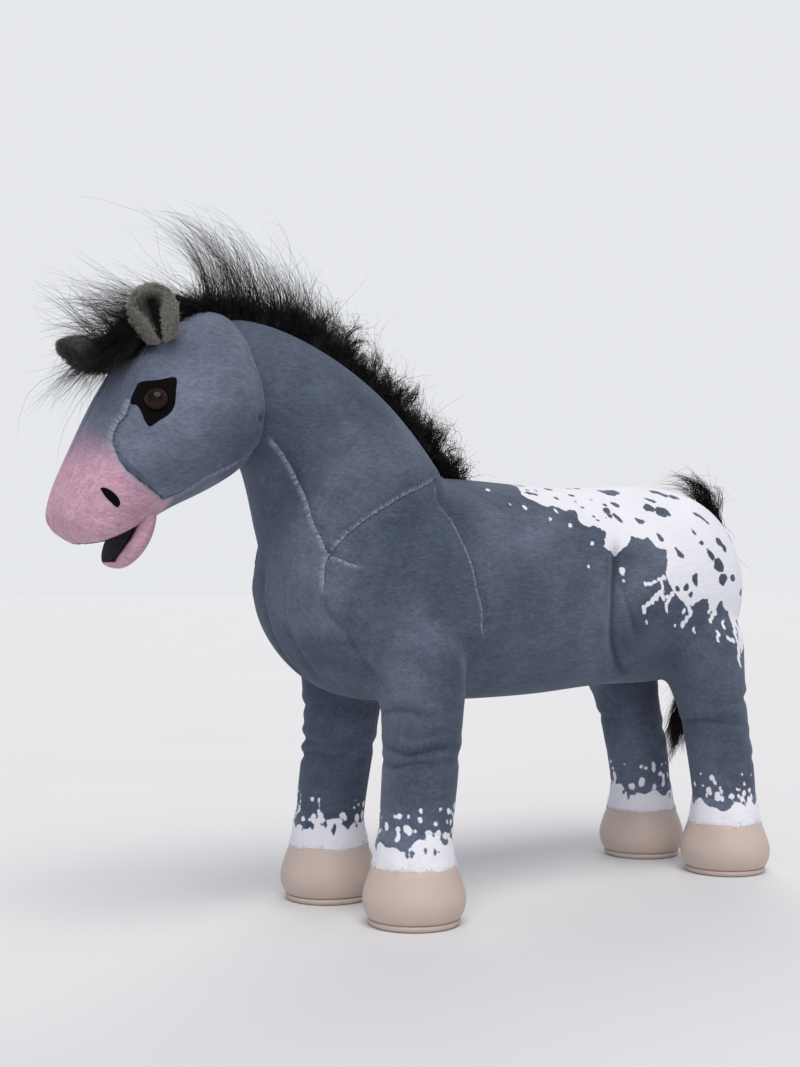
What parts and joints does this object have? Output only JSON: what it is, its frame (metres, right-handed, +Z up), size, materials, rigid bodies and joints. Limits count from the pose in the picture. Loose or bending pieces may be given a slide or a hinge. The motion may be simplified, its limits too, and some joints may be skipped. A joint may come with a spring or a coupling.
{
  "type": "plush horse",
  "caption": "Standing plush horse with a bendable wire frame, a hair mane and tail, an open mouth, fluffy cuffs and padded hooves.",
  "frame": {"origin": "on the ground under the middle of the bounding box", "axes": "+Z up, -Y towards the nose, +X towards the horse's left side"},
  "size_m": [0.206, 0.7243, 0.5377],
  "materials": {
    "grey_short_plush": "matte short pile",
    "pink_short_plush": "matte short pile",
    "white_long_plush": "matte long pile",
    "black_felt": "matte felt",
    "black_hair_pile": "long silky pile",
    "beige_imitation_leather": "satin",
    "grey_green_long_plush": "matte long pile",
    "brown_black_glass": "glossy",
    "sleeved_steel_wire": "satin",
    "weight_disc": "matte"
  },
  "bodies": {
    "trunk": {"torso": "grey_short_plush", "spine_wire": "sleeved_steel_wire", "front_cross_wire": "sleeved_steel_wire", "hind_cross_wire": "sleeved_steel_wire"},
    "neck": {"neck": "grey_short_plush", "neck_wire": "sleeved_steel_wire", "mane": "black_hair_pile"},
    "head": {"head": "grey_short_plush", "muzzle": "pink_short_plush", "mouth_lining": "black_felt", "forelock": "black_hair_pile", "eye_left": "brown_black_glass", "eye_right": "brown_black_glass", "eye_washer_left": "sleeved_steel_wire", "eye_washer_right": "sleeved_steel_wire", "eye_patch_left": "black_felt", "eye_patch_right": "black_felt", "nostril_left": "black_felt", "nostril_right": "black_felt"},
    "jaw": {"lower_jaw": "pink_short_plush"},
    "ear_left": {"ear_left": "grey_short_plush", "ear_left_lining": "grey_green_long_plush"},
    "ear_right": {"ear_right": "grey_short_plush", "ear_right_lining": "grey_green_long_plush"},
    "tail": {"tail_dock": "grey_short_plush", "tail_hair": "black_hair_pile"},
    "front_left_upper": {"front_left_upper_leg": "grey_short_plush", "front_left_upper_wire": "sleeved_steel_wire"},
    "front_left_lower": {"front_left_lower_leg": "grey_short_plush", "front_left_lower_wire": "sleeved_steel_wire", "front_left_cuff": "white_long_plush", "front_left_hoof": "beige_imitation_leather", "front_left_hoof_weight": "weight_disc", "front_left_sole": "beige_imitation_leather"},
    "front_right_upper": {"front_right_upper_leg": "grey_short_plush", "front_right_upper_wire": "sleeved_steel_wire"},
    "front_right_lower": {"front_right_lower_leg": "grey_short_plush", "front_right_lower_wire": "sleeved_steel_wire", "front_right_cuff": "white_long_plush", "front_right_hoof": "beige_imitation_leather", "front_right_hoof_weight": "weight_disc", "front_right_sole": "beige_imitation_leather"},
    "hind_left_upper": {"hind_left_upper_leg": "grey_short_plush", "hind_left_upper_wire": "sleeved_steel_wire"},
    "hind_left_lower": {"hind_left_lower_leg": "grey_short_plush", "hind_left_lower_wire": "sleeved_steel_wire", "hind_left_cuff": "white_long_plush", "hind_left_hoof": "beige_imitation_leather", "hind_left_hoof_weight": "weight_disc", "hind_left_sole": "beige_imitation_leather"},
    "hind_right_upper": {"hind_right_upper_leg": "grey_short_plush", "hind_right_upper_wire": "sleeved_steel_wire"},
    "hind_right_lower": {"hind_right_lower_leg": "grey_short_plush", "hind_right_lower_wire": "sleeved_steel_wire", "hind_right_cuff": "white_long_plush", "hind_right_hoof": "beige_imitation_leather", "hind_right_hoof_weight": "weight_disc", "hind_right_sole": "beige_imitation_leather"}
  },
  "joints": [
    {"name": "neck_bend", "type": "hinge", "parent": "trunk", "child": "neck", "pos_m": [0, -0.115, 0.33], "axis": [1, 0, 0], "range_deg": [-8, 15]},
    {"name": "head_nod", "type": "hinge", "parent": "neck", "child": "head", "pos_m": [0, -0.255, 0.415], "axis": [1, 0, 0], "range_deg": [-12, 15]},
    {"name": "jaw_open", "type": "hinge", "parent": "head", "child": "jaw", "pos_m": [0, -0.283, 0.32], "axis": [1, 0, 0], "range_deg": [-8, 8], "stiffness_Nm_per_rad": 0.12},
    {"name": "ear_left_flex", "type": "hinge", "parent": "head", "child": "ear_left", "pos_m": [0.029, -0.285, 0.44214], "axis": [1, 0, 0], "range_deg": [-8, 8], "stiffness_Nm_per_rad": 0.05},
    {"name": "ear_right_flex", "type": "hinge", "parent": "head", "child": "ear_right", "pos_m": [-0.029, -0.285, 0.44214], "axis": [1, 0, 0], "range_deg": [-8, 8], "stiffness_Nm_per_rad": 0.05},
    {"name": "tail_lift", "type": "hinge", "parent": "trunk", "child": "tail", "pos_m": [0, 0.311, 0.331], "axis": [1, 0, 0], "range_deg": [0, 30]},
    {"name": "front_left_leg_swing", "type": "hinge", "parent": "trunk", "child": "front_left_upper", "pos_m": [0, -0.07, 0.2], "axis": [1, 0, 0], "range_deg": [-15, 15]},
    {"name": "front_left_knee_bend", "type": "hinge", "parent": "front_left_upper", "child": "front_left_lower", "pos_m": [0, -0.07472, 0.128], "axis": [1, 0, 0], "range_deg": [0, 25]},
    {"name": "front_right_leg_swing", "type": "hinge", "parent": "trunk", "child": "front_right_upper", "pos_m": [0, -0.07, 0.2], "axis": [1, 0, 0], "range_deg": [-15, 15]},
    {"name": "front_right_knee_bend", "type": "hinge", "parent": "front_right_upper", "child": "front_right_lower", "pos_m": [0, -0.07472, 0.128], "axis": [1, 0, 0], "range_deg": [0, 25]},
    {"name": "hind_left_leg_swing", "type": "hinge", "parent": "trunk", "child": "hind_left_upper", "pos_m": [0, 0.275, 0.205], "axis": [1, 0, 0], "range_deg": [-15, 15]},
    {"name": "hind_left_hock_bend", "type": "hinge", "parent": "hind_left_upper", "child": "hind_left_lower", "pos_m": [0, 0.28503, 0.128], "axis": [1, 0, 0], "range_deg": [-25, 0]},
    {"name": "hind_right_leg_swing", "type": "hinge", "parent": "trunk", "child": "hind_right_upper", "pos_m": [0, 0.275, 0.205], "axis": [1, 0, 0], "range_deg": [-15, 15]},
    {"name": "hind_right_hock_bend", "type": "hinge", "parent": "hind_right_upper", "child": "hind_right_lower", "pos_m": [0, 0.28503, 0.128], "axis": [1, 0, 0], "range_deg": [-25, 0]}
  ]
}
